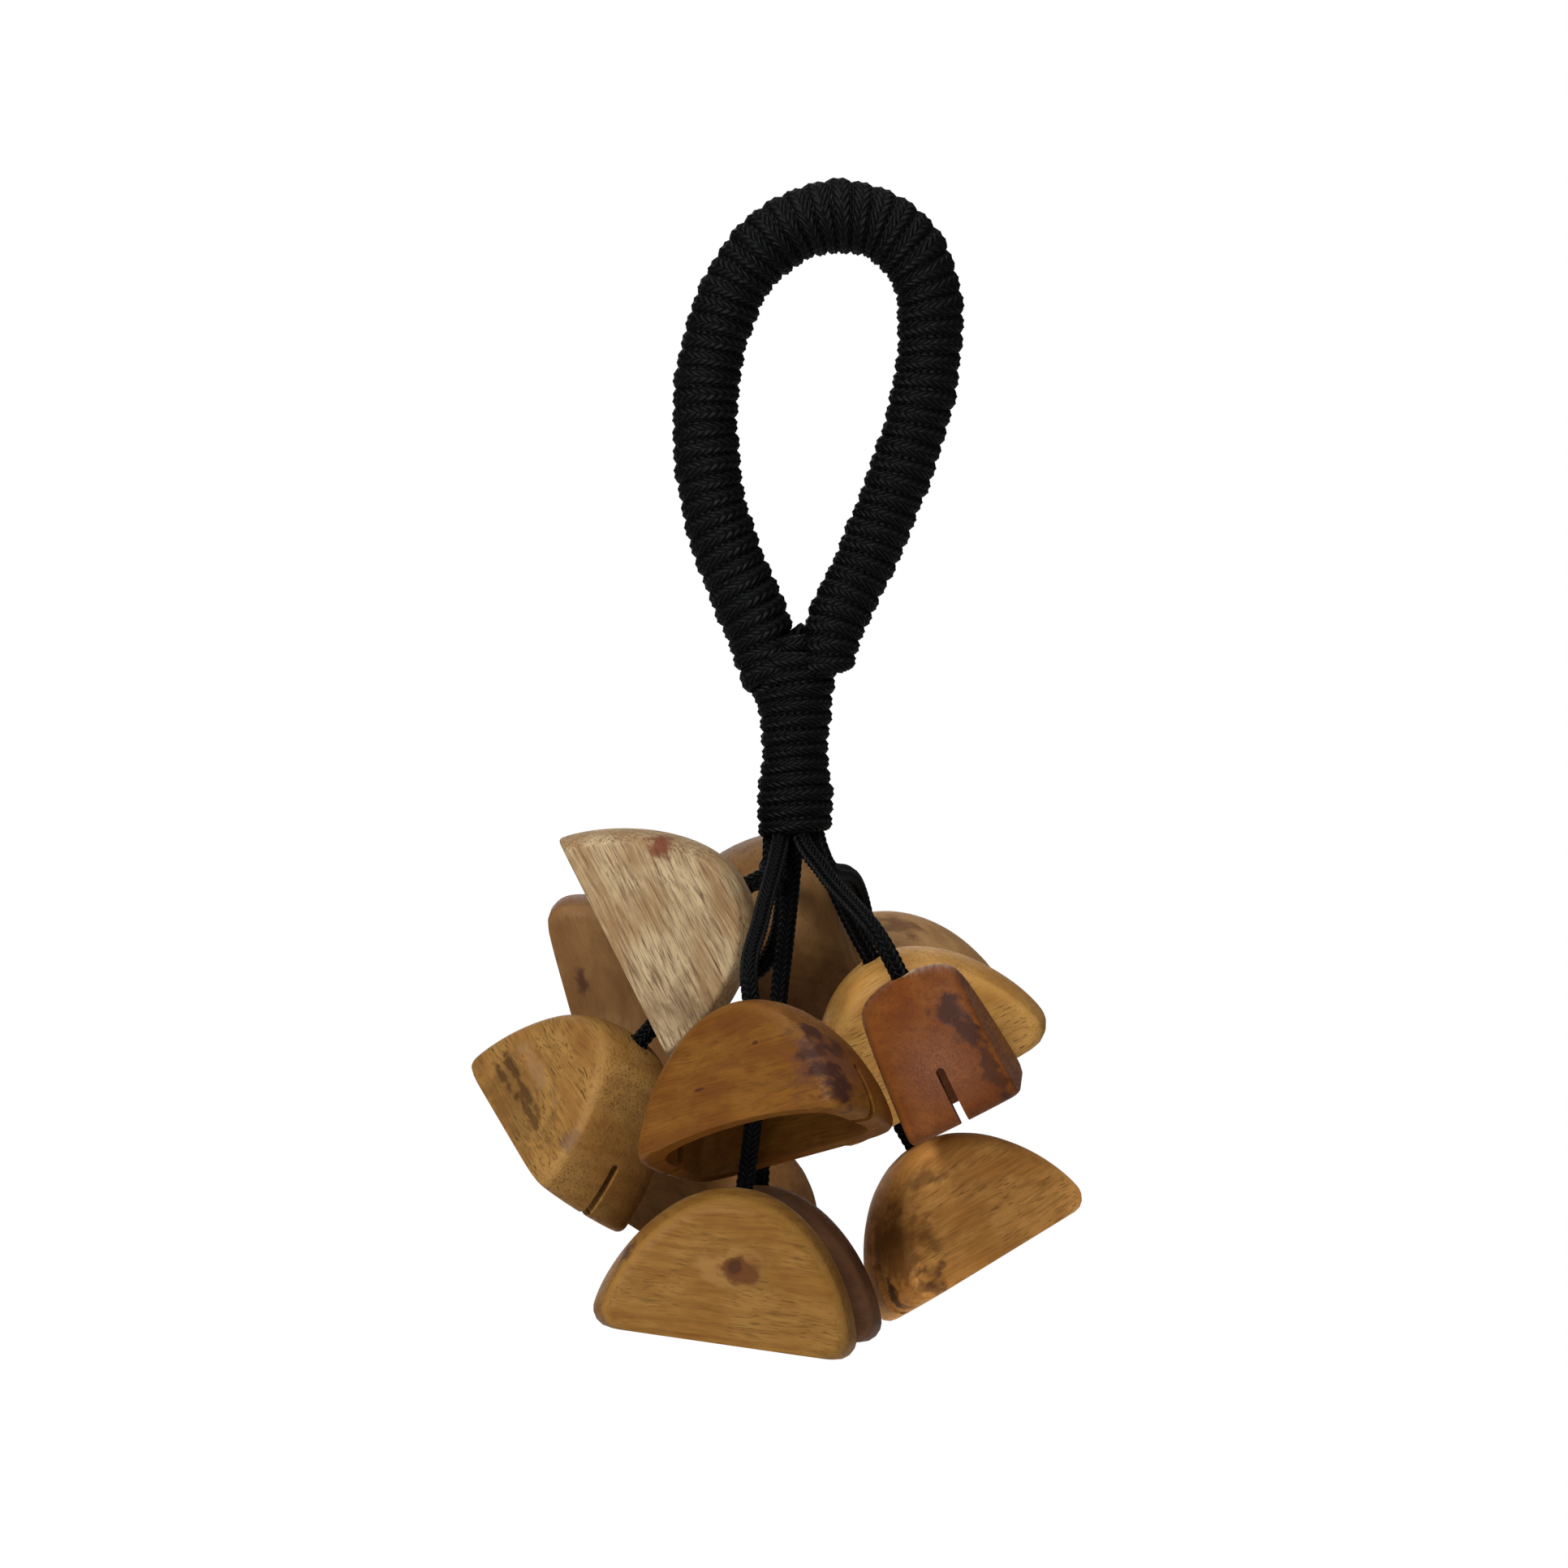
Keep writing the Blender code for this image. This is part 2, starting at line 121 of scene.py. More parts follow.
# The radius of the loop's wrapping, in millimetres, at shares of the loop's length
LOOP_RADII = [
    (0.0, 6.0), (0.026, 8.6), (0.05, 8.9), (0.09, 9.1), (0.18, 8.7), (0.39, 8.6),
    (0.51, 9.75), (0.63, 8.7), (0.84, 8.3), (0.93, 8.0), (0.97, 7.8), (1.0, 7.2),
]

# The neck's height, middle and half width down its length, in millimetres
NECK_PROFILE = [
    (-97.0, -11.3, 5.5), (-100.5, -11.5, 9.0), (-103.5, -11.7, 11.2), (-106.6, -11.7, 11.3),
    (-108.6, -11.5, 10.8), (-112.1, -11.3, 9.9), (-120.3, -11.3, 9.0), (-128.5, -11.3, 8.8),
    (-133.0, -11.3, 9.3), (-136.7, -11.3, 10.1), (-142.9, -11.3, 9.9), (-146.2, -11.3, 9.6),
]

# Each strand: the place of its cord in the neck's mouth, in degrees, or None for the middle, then
# its shells: name, cord hole in millimetres, roll, tilt and yaw in degrees, size as a factor, and
# the radius of the worn corners in millimetres.
STRANDS = [
    ("left_front", 272.0, [
        ("left_front_upper", (-23.2, -9.8, -159.4), (63.3, 0.0, 0.0), 1.0, 1.0),
        ("left_front_lower", (-50.5, -16.0, -198.8), (41.3, 12.9, -54.3), 1.0, 2.5),
    ]),
    ("left", 221.0, [("left", (-29.1, 26.7, -184.0), (74.3, 10.0, 0.0), 1.0, 4.5)]),
    ("back_left", 169.0, [
        ("back_left_upper", (-17.4, 40.6, -159.3), (-18.0, 58.0, 90.0), 1.0, 4.5),
        ("back_left_lower", (-17.5, 34.0, -223.7), (32.0, 0.0, -45.0), 1.0, 4.5),
    ]),
    ("back_right", 118.0, [("back_right", (7.1, 77.0, -171.0), (-12.0, 34.0, 0.0), 1.0, 4.5)]),
    ("right", 66.0, [
        ("right_upper", (7.9, 3.4, -178.1), (-28.7, 10.0, 0.0), 1.0, 4.5),
        ("right_lower", (18.7, 8.0, -225.3), (-31.0, 0.0, 29.0), 0.94, 4.5),
    ]),
    ("right_front", 15.0, [("right_front", (15.0, -41.2, -182.0), (-27.0, 5.0, 86.0), 1.0, 3.0)]),
    ("front", 323.0, [
        ("front_upper", (-22.3, -52.9, -189.1), (-6.0, -17.0, -30.0), 1.0, 2.5),
        ("front_lower", (-24.0, -51.5, -235.2), (8.2, 0.0, 0.0), 1.05, 5.0),
    ]),
    ("middle", None, [("middle", (-20.1, -17.1, -234.8), (3.0, 0.0, 0.0), 1.02, 5.0)]),
]

# Where the cord to a shell bends between its fixed ends, in millimetres
BENDS = {
    "left_front_upper": [(-17.8, -4.6, -156.8)],
    "left_front_lower": [(-41.0, -15.0, -180.0)],
    "left": [(-14.0, 11.0, -159.5)],
    "back_left_upper": [(-12.5, 15.5, -151.5)],
    "back_left_lower": [(-0.5, 63.0, -199.0)],
    "back_right": [(-4.5, 11.5, -152.0)],
    "right_upper": [(-2.0, -1.0, -158.0)],
    "right_lower": [(15.5, 7.0, -203.0)],
    "right_front": [(-4.0, -16.5, -156.0)],
    "front_upper": [(-15.5, -12.5, -151.0), (-20.0, -34.0, -168.5)],
    "front_lower": [(-21.5, -56.0, -216.0)],
    "middle": [(-15.5, -8.5, -189.0)],
}


def make_camera():
    data = bpy.data.cameras.new("camera")
    data.sensor_width = SENSOR_WIDTH
    data.lens = SENSOR_WIDTH * CAMERA_DISTANCE / FRAME_WIDTH
    data.clip_end = 100.0
    camera = bpy.data.objects.new("camera", data)
    camera.location = FRAME_CENTRE - Vector((0.0, CAMERA_DISTANCE, 0.0))
    camera.rotation_euler = (math.radians(90.0), 0.0, 0.0)
    bpy.context.scene.collection.objects.link(camera)
    bpy.context.scene.camera = camera


def add_mesh(name, points, faces, finish):
    mesh = bpy.data.meshes.new(name)
    mesh.from_pydata([tuple(point) for point in points], [], faces)
    mesh.shade_smooth()
    mesh.materials.append(finish)
    item = bpy.data.objects.new(name, mesh)
    bpy.context.scene.collection.objects.link(item)
    return item


def smooth_route(points, spacing, first=None, last=None):
    """Points about spacing apart on a smooth curve through the given points."""
    chords = [b - a for a, b in zip(points, points[1:])]
    slopes = [first or chords[0].normalized()]
    for one, two in zip(chords, chords[1:]):
        share = two.length / one.length
        slopes.append((one * share + two / share) / (one.length + two.length))
    slopes.append(last or chords[-1].normalized())
    fine = [points[0]]
    steps = 24
    for start, chord, leaving, arriving in zip(points, chords, slopes, slopes[1:]):
        for step in range(1, steps + 1):
            t = step / steps
            fine.append(start + chord * (3 * t ** 2 - 2 * t ** 3)
                        + leaving * chord.length * (t ** 3 - 2 * t ** 2 + t)
                        + arriving * chord.length * (t ** 3 - t ** 2))
    return evenly(np.array(fine), spacing)


def evenly(points, spacing):
    """The polyline's points again, evenly about spacing apart."""
    steps = np.linalg.norm(np.diff(points, axis=0), axis=1)
    reached = np.concatenate([[0.0], np.cumsum(steps)])
    count = max(2, round(reached[-1] / spacing)) + 1
    wanted = np.linspace(0.0, reached[-1], count)
    return np.stack([np.interp(wanted, reached, points[:, axis]) for axis in range(3)], axis=1)


def unit(vectors):
    return vectors / np.linalg.norm(vectors, axis=-1, keepdims=True)


def carried_frames(points):
    """Two directions across the polyline at each point, carried along it without a twist."""
    along = unit(np.gradient(points, axis=0))
    side = np.cross(along[0], (0.0, 1.0, 0.0))
    nearly_parallel = 0.1
    if np.linalg.norm(side) < nearly_parallel:
        side = np.cross(along[0], (1.0, 0.0, 0.0))
    sides = []
    for direction in along:
        side = side - direction * np.dot(side, direction)
        side = side / np.linalg.norm(side)
        sides.append(side)
    sides = np.array(sides)
    return sides, np.cross(along, sides)


def stitch_height(angle, distance):
    """How far the braid's surface stands up, from 0 in its gaps to 1 on its stitches."""
    margin = 0.02
    column = angle / math.tau * STITCH_COLUMNS
    share = column - np.floor(column)
    slant = np.where(np.floor(column) % 2 == 0, 1.0, -1.0) * (share - 0.5) * STITCH_SLANT
    wave = 0.5 + 0.5 * np.cos(math.tau * (distance / STITCH_PITCH + slant))
    across = np.sin(math.pi * np.clip(share, margin, 1.0 - margin))
    return wave ** STITCH_POWER * across ** COLUMN_POWER


def add_tube(name, surface, distances, turns, closed, finish):
    """A tube from its rings of points.

    Its attribute "braid" holds, for the material, the distance along the cord and the share of a turn
    round it: distances has a value for each ring, and turns a value for each side and one more.
    """
    rings, sides = surface.shape[:2]
    faces = []
    marks = []
    last = rings if closed else rings - 1
    step = distances[1] - distances[0]
    for ring in range(last):
        here = ring * sides
        there = (ring + 1) % rings * sides
        near = distances[ring]
        far = near + step
        for side in range(sides):
            after = (side + 1) % sides
            faces.append((here + side, here + after, there + after, there + side))
            left = turns[side]
            right = turns[side + 1]
            marks.extend((near, left, 0.0, near, right, 0.0, far, right, 0.0, far, left, 0.0))
    if not closed:
        faces.append(tuple(reversed(range(sides))))
        faces.append(tuple(range((rings - 1) * sides, rings * sides)))
        marks.extend([0.0] * (6 * sides))
    tube = add_mesh(name, surface.reshape(-1, 3), faces, finish)
    braid = tube.data.attributes.new("braid", "FLOAT_VECTOR", "CORNER")
    braid.data.foreach_set("vector", marks)
    return tube


def braided_cord(name, points, radius, spacing, sides, finish, closed=False):
    """A braided cord along the points. A closed one is a ring, and an open one has rounded ends."""
    end_share = 0.2
    points = evenly(points, spacing)
    if closed:
        points = points[:-1]
    across, depth = carried_frames(points)
    if closed:
        across, depth = closing_frames(points, across)
    angle = np.arange(sides) * math.tau / sides
    distance = np.arange(len(points))[:, None] * spacing
    reach = radius - STITCH_DEPTH * (1.0 - stitch_height(angle[None, :], distance))
    if not closed:
        count = np.arange(len(points))
        ends = np.minimum(count, count[::-1])[:, None] * spacing
        rounding = np.clip(ends / radius, 0.0, 1.0)
        reach = reach * np.sqrt(np.clip(1.0 - (1.0 - rounding) ** 2, end_share ** 2, 1.0))
    ring = np.cos(angle)[None, :, None] * across[:, None, :]
    ring = ring + np.sin(angle)[None, :, None] * depth[:, None, :]
    surface = points[:, None, :] + reach[:, :, None] * ring
    turns = np.arange(sides + 1) / sides
    return add_tube(name, surface, distance[:, 0], turns, closed, finish)


def closing_frames(points, across):
    """The frames of a closed line, with their leftover twist spread over its whole length."""
    along = unit(np.roll(points, -1, axis=0) - np.roll(points, 1, axis=0))
    depth = np.cross(along, across)
    end = across[-1] - along[0] * np.dot(across[-1], along[0])
    twist = math.atan2(np.dot(end, depth[0]), np.dot(end, across[0]))
    turn = -twist * np.arange(len(points))[:, None] / len(points)
    turned = np.cos(turn) * across + np.sin(turn) * depth
    turned = unit(turned - along * np.sum(turned * along, axis=1, keepdims=True))
    return turned, np.cross(along, turned)


class Shell:
    """Where a shell hangs, worked out from the outer end of its cord hole."""

    def __init__(self, name, hole, turn, size, corner):
        self.name = name
        self.size = size
        self.corner = corner * MM
        roll, tilt, yaw = (math.radians(angle) for angle in turn)
        self.rotation = Euler((tilt, roll, yaw), "ZXY")
        self.up = self.rotation.to_matrix() @ Vector((0.0, 0.0, 1.0))
        self.hole = Vector(hole) * MM
        self.rim = self.hole - self.up * SHELL_HEIGHT * size
        self.knot = self.along(-SHELL_TOP_WALL - KNOT_HEIGHT / 2 - GAP)

    def along(self, distance):
        return self.hole + self.up * distance

    def place(self, item):
        item.rotation_mode = "ZXY"
        item.rotation_euler = self.rotation
        item.location = self.rim


def strand_route(pivot, shells):
    """From inside the neck's mouth through each shell's hole and knot to the last knot's tail."""
    inside_neck = Vector((0.0, 0.0, 2.6 * MM))
    tail = 7.0 * MM
    lean = 1.6
    spacing = 0.5 * MM
    route = [np.array([pivot + inside_neck])]
    start = pivot
    heading = Vector((0.0, 0.0, -1.0))
    for shell in shells:
        bends = [Vector(point) * MM for point in BENDS[shell.name]]
        if start == pivot:
            # A cord leaves the neck heading between straight down and its first bend
            heading = (heading + (bends[0] - start).normalized() * lean).normalized()
            knots = [start, *bends, shell.along(CORD_LEAD)]
        else:
            knots = [start + heading * CORD_LEAD / 2, *bends, shell.along(CORD_LEAD)]
            route.append(np.array([start]))
        route.append(smooth_route(knots, MM, heading, -shell.up))
        start = shell.knot - shell.up * (KNOT_HEIGHT / 2 + GAP)
        heading = -shell.up
    route.append(np.array([shells[-1].knot - shells[-1].up * tail]))
    return evenly(np.concatenate(route), spacing)


def make_knot(shell, strand, finish):
    """An overhand knot pulled tight round the cord, as a closed trefoil."""
    samples = 96
    turn = np.linspace(0.0, math.tau, samples + 1)
    reach = 0.95 * MM
    rise = 2.3 * MM
    loop = np.stack([reach * (np.sin(turn) + 2 * np.sin(2 * turn)),
                     reach * (np.cos(turn) - 2 * np.cos(2 * turn)),
                     -rise * np.sin(3 * turn)], axis=1)
    matrix = np.array(shell.rotation.to_matrix())
    points = loop @ matrix.T + np.array(shell.knot)
    knot = braided_cord("tied_" + shell.name, points, KNOT_CORD_RADIUS, KNOT_SPACING, KNOT_SIDES,
                        finish, closed=True)
    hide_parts("knot_" + shell.name)
    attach(knot, "strand_" + strand)
    return knot


def make_strand_cord(strand, bearing, shells, finish):
    pivot = Vector((NECK_X, 0.0, MOUTH_HEIGHT - GAP - CORD_DIAMETER / 2))
    if bearing is not None:
        turn = math.radians(bearing)
        pivot += MOUTH_RING_RADIUS * Vector((math.sin(turn), -math.cos(turn), 0.0))
    route = strand_route(pivot, shells)
    cord = braided_cord("braid_" + strand, route, CORD_DIAMETER / 2 + CORD_SWELL, CORD_SPACING,
                        CORD_SIDES, finish)
    knots = [make_knot(shell, strand, finish) for shell in shells]
    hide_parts(*["cord_" + shell.name for shell in shells])
    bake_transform(cord)


def wound_cord(name, route, outer_radius, pitch, finish):
    """One cord wound round a route, turn beside turn, flattened where it lies on the bundle.

    outer_radius gives the wrapping's radius from the distance along the route and the angle round it.
    Both ends of the cord dive under the turns beside them. bumps holds the heights and rates of the
    waves that make the turns uneven. The cord's section is round to rounded_to degrees either side of
    the top, and flat below.
    """
    per_turn = 108
    thickness = 2.2 * MM
    crowding = 1.24
    tuck = 2.4 * MM
    tuck_steps = 26
    bumps = ((0.16 * MM, 0.23), (0.12 * MM, 0.61))
    rounded_to = 112.0
    rounded_points = 13
    side_share = 0.6
    flat_depth = 0.5 * MM
    steps = np.linalg.norm(np.diff(route, axis=0), axis=1)
    reached = np.concatenate([[0.0], np.cumsum(steps)])
    length = reached[-1]
    turns = max(1, round(length / pitch))
    count = turns * per_turn + 1
    distance = np.linspace(0.0, length, count)
    angle = np.arange(count) / per_turn * math.tau + math.pi / 2

    def centre_at(place):
        place = np.clip(place, 0.0, length)
        return np.stack([np.interp(place, reached, route[:, axis]) for axis in range(3)], axis=1)

    along = unit(centre_at(distance + MM) - centre_at(distance - MM))
    across = unit(np.cross((0.0, 1.0, 0.0), along))
    depth = np.cross(along, across)
    outward = np.cos(angle)[:, None] * across + np.sin(angle)[:, None] * depth
    from_end = np.minimum(np.arange(count), np.arange(count)[::-1])
    sunk = tuck * np.clip(1.0 - from_end / tuck_steps, 0.0, 1.0) ** 2
    uneven = sum(height * np.sin(rate * angle) for height, rate in bumps)
    radial = (outer_radius(distance, angle) + uneven - sunk - thickness)[:, None]
    line = centre_at(distance) + radial * outward
    beside = np.roll(line, -per_turn, axis=0)
    beside[-per_turn:] = line[-per_turn:] + (line[-per_turn:] - line[-2 * per_turn:-per_turn])
    half = np.linalg.norm(beside - line, axis=1) / 2 * crowding

    tangent = unit(np.gradient(line, axis=0))
    binormal = unit(np.cross(tangent, outward))
    outward = np.cross(binormal, tangent)
    section = np.linspace(-rounded_to, rounded_to, rounded_points)
    section = np.radians(np.append(section, 180.0))
    run = np.concatenate([[0.0], np.cumsum(np.linalg.norm(np.diff(line, axis=0), axis=1))])
    drop = STITCH_DEPTH * (1.0 - stitch_height(section[None, :] + math.pi, run[:, None]))
    drop[:, -1] = 0.0
    side = np.sin(section)[None, :] * (half[:, None] - side_share * drop)
    up = np.maximum(np.cos(section)[None, :] * (thickness - drop), -flat_depth)
    surface = line[:, None, :] + side[:, :, None] * binormal[:, None, :]
    surface = surface + up[:, :, None] * outward[:, None, :]
    shares = np.append(section, section[0] + math.tau) / math.tau + 0.5
    item = add_tube(name, surface, np.linspace(0.0, run[-1], count), shares, False, finish)
    return item


def make_handle(finish):
    """The wrappings of the loop and the neck, and the looks of the bundles inside them."""
    inside_neck = (-15.4, 0.0, -111.0)
    loop = smooth_route([Vector(point) * MM for point in [inside_neck, *LOOP_ROUTE]], MM)
    loop_length = np.linalg.norm(np.diff(loop, axis=0), axis=1).sum()
    shares, radii = (np.array(column) for column in zip(*LOOP_RADII))

    def loop_radius(distance, angle):
        return np.interp(distance / loop_length, shares, radii * MM)

    wrapping = wound_cord("wound_loop", loop, loop_radius, LOOP_PITCH, finish)
    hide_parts("loop_wrapping")
    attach(wrapping, "handle")

    down, middles, widths = (np.array(column) for column in zip(*NECK_PROFILE))
    top = down[0]
    down = top - down
    deepest = 9.8
    neck_points = 60
    neck_steps = np.linspace(0.0, down[-1], neck_points)
    neck = np.stack([np.interp(neck_steps, down, middles), np.zeros_like(neck_steps),
                     top - neck_steps], axis=1) * MM

    def neck_radius(distance, angle):
        wide = np.interp(distance / MM, down, widths)
        deep = np.minimum(wide, deepest)
        round_it = np.sqrt((deep * np.cos(angle)) ** 2 + (wide * np.sin(angle)) ** 2)
        return wide * deep / round_it * MM

    binding = wound_cord("wound_neck", neck, neck_radius, NECK_PITCH, finish)
    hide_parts("neck_binding")
    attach(binding, "handle")
    for node in ("loop_core", "neck_core"):
        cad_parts[node].data.materials[0] = finish


def worn_arch(half_width, height, corner, segments):
    """A shell's outline over its rim: an arch that meets it in two worn corners."""
    worn_turn = 72.0
    worn_points = 4
    turns = np.radians(np.linspace(0.0, worn_turn, worn_points))
    worn = np.stack([half_width - corner * (1.0 - np.sin(turns)), corner * (1.0 - np.cos(turns))],
                    axis=1)
    turns = np.linspace(0.0, math.pi, segments + 1)
    rise = np.sin(turns) ** ARCH_POWER
    rise[[0, -1]] = 0.0
    arch = np.stack([half_width * np.cos(turns), corner + (height - corner) * rise], axis=1)
    return np.concatenate([worn, arch, worn[::-1] * (-1.0, 1.0)])


def depth_at(size, above):
    """A shell's depth, which lessens with the height above its rim."""
    return size * SHELL_DEPTH - SHELL_TOP_NARROWING * above / SHELL_HEIGHT


def shell_blank(form, shell, ridge, scoop):
    """The outer form, with its ridges rounded and the middle of its rim scooped."""
    size = shell.size
    half = size * SHELL_WIDTH / 2
    stations = (-1.0, -0.84, -0.66, -0.42, -0.15, 0.15, 0.42, 0.66, 0.84, 1.0)
    roundness = 0.98
    arch_segments = 56
    rows = []
    for station in stations:
        inset = 1.0 - math.sqrt(1.0 - roundness * station ** 2)
        outline = worn_arch(half - SHELL_END_BULGE * inset,
                            size * SHELL_HEIGHT - SHELL_TOP_BULGE * inset, shell.corner,
                            arch_segments)
        rows.append([form.verts.new((along, station * depth_at(size, above) / 2, above))
                     for along, above in outline])
    for one, two in zip(rows, rows[1:]):
        for a, b, c, d in zip(one, one[1:], two[1:], two):
            form.faces.new((a, b, c, d))
    caps = [form.faces.new(rows[0]), form.faces.new(rows[-1])]
    floor = form.faces.new([row[0] for row in rows] + [row[-1] for row in reversed(rows)])
    bmesh.ops.recalc_face_normals(form, faces=form.faces)
    edges = {edge for face in caps for edge in face.edges if floor not in edge.link_faces}
    bmesh.ops.bevel(form, geom=list(edges), offset=ridge, segments=4, profile=0.55,
                    affect="EDGES", clamp_overlap=True)
    if scoop:
        raise_rim(form, half, scoop)
    bmesh.ops.recalc_face_normals(form, faces=form.faces)


def raise_rim(form, half, scoop):
    """Raises the front of the rim to a low arch."""
    slices = 12
    fade_up = 9.0 * MM
    fade_back = 20.0 * MM
    end_share = 0.94
    for step in range(1, slices):
        place = (-half + 2 * half * step / slices, 0.0, 0.0)
        geometry = [*form.verts, *form.edges, *form.faces]
        bmesh.ops.bisect_plane(form, geom=geometry, plane_co=place, plane_no=(1.0, 0.0, 0.0))
    for vert in form.verts:
        low = max(0.0, 1.0 - vert.co.z / fade_up)
        front = min(1.0, max(0.0, 0.5 - vert.co.y / fade_back))
        bow = max(0.0, 1.0 - (vert.co.x / (half * end_share)) ** 2)
        vert.co.z += scoop * low * front * bow


def hollow_cutter(form, shell):
    """The hollow under the arch: rounded rectangles, which flare at the rim."""
    size = shell.size
    flare = 0.5 * MM
    flare_height = 0.8 * MM
    corners = 40
    squareness = 0.4
    first_turn = 4.0
    last_turn = 84.0
    arch_levels = 20
    lowest = 2.0 * MM
    half = size * SHELL_WIDTH / 2 - SHELL_END_WALL
    height = size * SHELL_HEIGHT - SHELL_TOP_WALL
    levels = [(half + flare, -CUTTER_REACH, flare), (half + flare, 0.0, flare),
              (half, flare_height, 0.0)]
    for turn in np.radians(np.linspace(first_turn, last_turn, arch_levels)):
        levels.append((half * math.cos(turn),
                       lowest + (height - lowest) * math.sin(turn) ** ARCH_POWER, 0.0))
    rows = []
    for reach, above, spread in levels:
        deep = depth_at(size, max(above, 0.0)) / 2 - SHELL_FACE_WALL + spread
        row = []
        for corner in range(corners):
            turn = math.tau * corner / corners
            along = math.copysign(abs(math.cos(turn)) ** squareness, math.cos(turn))
            across = math.copysign(abs(math.sin(turn)) ** squareness, math.sin(turn))
            row.append(form.verts.new((reach * along, deep * across, above)))
        rows.append(row)
    for one, two in zip(rows, rows[1:]):
        for side in range(corners):
            after = (side + 1) % corners
            form.faces.new((one[side], one[after], two[after], two[side]))
    form.faces.new(rows[0])
    form.faces.new(rows[-1])
    bmesh.ops.recalc_face_normals(form, faces=form.faces)


def prism(form, outline, low, high, place):
    """A straight solid: place turns a point of the outline and a height into a point in space."""
    near = [form.verts.new(place(point, low)) for point in outline]
    far = [form.verts.new(place(point, high)) for point in outline]
    for side in range(len(outline)):
        after = (side + 1) % len(outline)
        form.faces.new((near[side], near[after], far[after], far[side]))
    form.faces.new(near)
    form.faces.new(far)
    bmesh.ops.recalc_face_normals(form, faces=form.faces)


def slot_cutter(form, shell):
    """The saw cut through both end walls, open at the rim and round at its top."""
    radius = SLOT_WIDTH / 2
    outline = [(-radius, -CUTTER_REACH), (radius, -CUTTER_REACH)]
    arc_points = 13
    for turn in np.linspace(0.0, math.pi, arc_points):
        outline.append((radius * math.cos(turn), SLOT_HEIGHT - radius + radius * math.sin(turn)))
    reach = shell.size * SHELL_WIDTH / 2 + CUTTER_REACH
    prism(form, outline, -reach, reach, lambda point, along: (along, point[0], point[1]))


def hole_cutter(form, shell):
    """The cord hole through the top wall."""
    sides = 28
    into_hollow = 3.0 * MM
    turns = np.linspace(0.0, math.tau, sides + 1)[:-1]
    outline = [(HOLE_RADIUS * math.cos(turn), HOLE_RADIUS * math.sin(turn)) for turn in turns]
    top = shell.size * SHELL_HEIGHT
    prism(form, outline, top - SHELL_TOP_WALL - into_hollow, top + CUTTER_REACH,
          lambda point, above: (point[0], point[1], above))


def mesh_object(name, build):
    form = bmesh.new()
    build(form)
    mesh = bpy.data.meshes.new(name)
    form.to_mesh(mesh)
    form.free()
    item = bpy.data.objects.new(name, mesh)
    bpy.context.scene.collection.objects.link(item)
    return item


def close_holes(form):
    rims = [edge for edge in form.edges if edge.is_boundary]
    bmesh.ops.holes_fill(form, edges=rims, sides=0)


def clean(mesh):
    """Merges the hair-thin faces that the cuts leave, and closes what they leave open."""
    finest = 0.01 * MM
    form = bmesh.new()
    form.from_mesh(mesh)
    bmesh.ops.remove_doubles(form, verts=form.verts, dist=finest)
    bmesh.ops.dissolve_degenerate(form, edges=form.edges, dist=finest)
    close_holes(form)
    bmesh.ops.triangulate(form, faces=form.faces, quad_method="BEAUTY", ngon_method="BEAUTY")
    bmesh.ops.dissolve_degenerate(form, edges=form.edges, dist=finest)
    close_holes(form)
    bmesh.ops.recalc_face_normals(form, faces=form.faces)
    form.to_mesh(mesh)
    form.free()


def make_shell(shell, strand, finish, ridge, scoop):
    """A carved shell: its blank, less the hollow, the saw cut and the cord hole."""
    sharp_angle = 38.0
    body = mesh_object("blank", lambda form: shell_blank(form, shell, ridge, scoop))
    cutters = []
    for tool in (hollow_cutter, slot_cutter, hole_cutter):
        cutter = mesh_object("cutter", lambda form: tool(form, shell))
        cut = body.modifiers.new("cut", "BOOLEAN")
        cut.operation = "DIFFERENCE"
        cut.solver = "EXACT"
        cut.object = cutter
        cutters.append(cutter)
    bpy.context.view_layer.update()
    graph = bpy.context.evaluated_depsgraph_get()
    mesh = bpy.data.meshes.new_from_object(body.evaluated_get(graph))
    for item in (body, *cutters):
        bpy.data.objects.remove(item, do_unlink=True)
    clean(mesh)
    mesh.shade_smooth()
    mesh.set_sharp_from_angle(angle=math.radians(sharp_angle))
    mesh.materials.clear()
    mesh.materials.append(finish)
    item = bpy.data.objects.new("carved_" + shell.name, mesh)
    bpy.context.scene.collection.objects.link(item)
    normals = item.modifiers.new("normals", "WEIGHTED_NORMAL")
    normals.keep_sharp = True
    shell.place(item)
    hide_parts("shell_" + shell.name)
    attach(item, "strand_" + strand)


# The inputs of Blender's Mix node for a share and two colours, and its output for their mixture
MIX_SHARE = 0
MIX_ONE = 6
MIX_TWO = 7
MIX_RESULT = 2


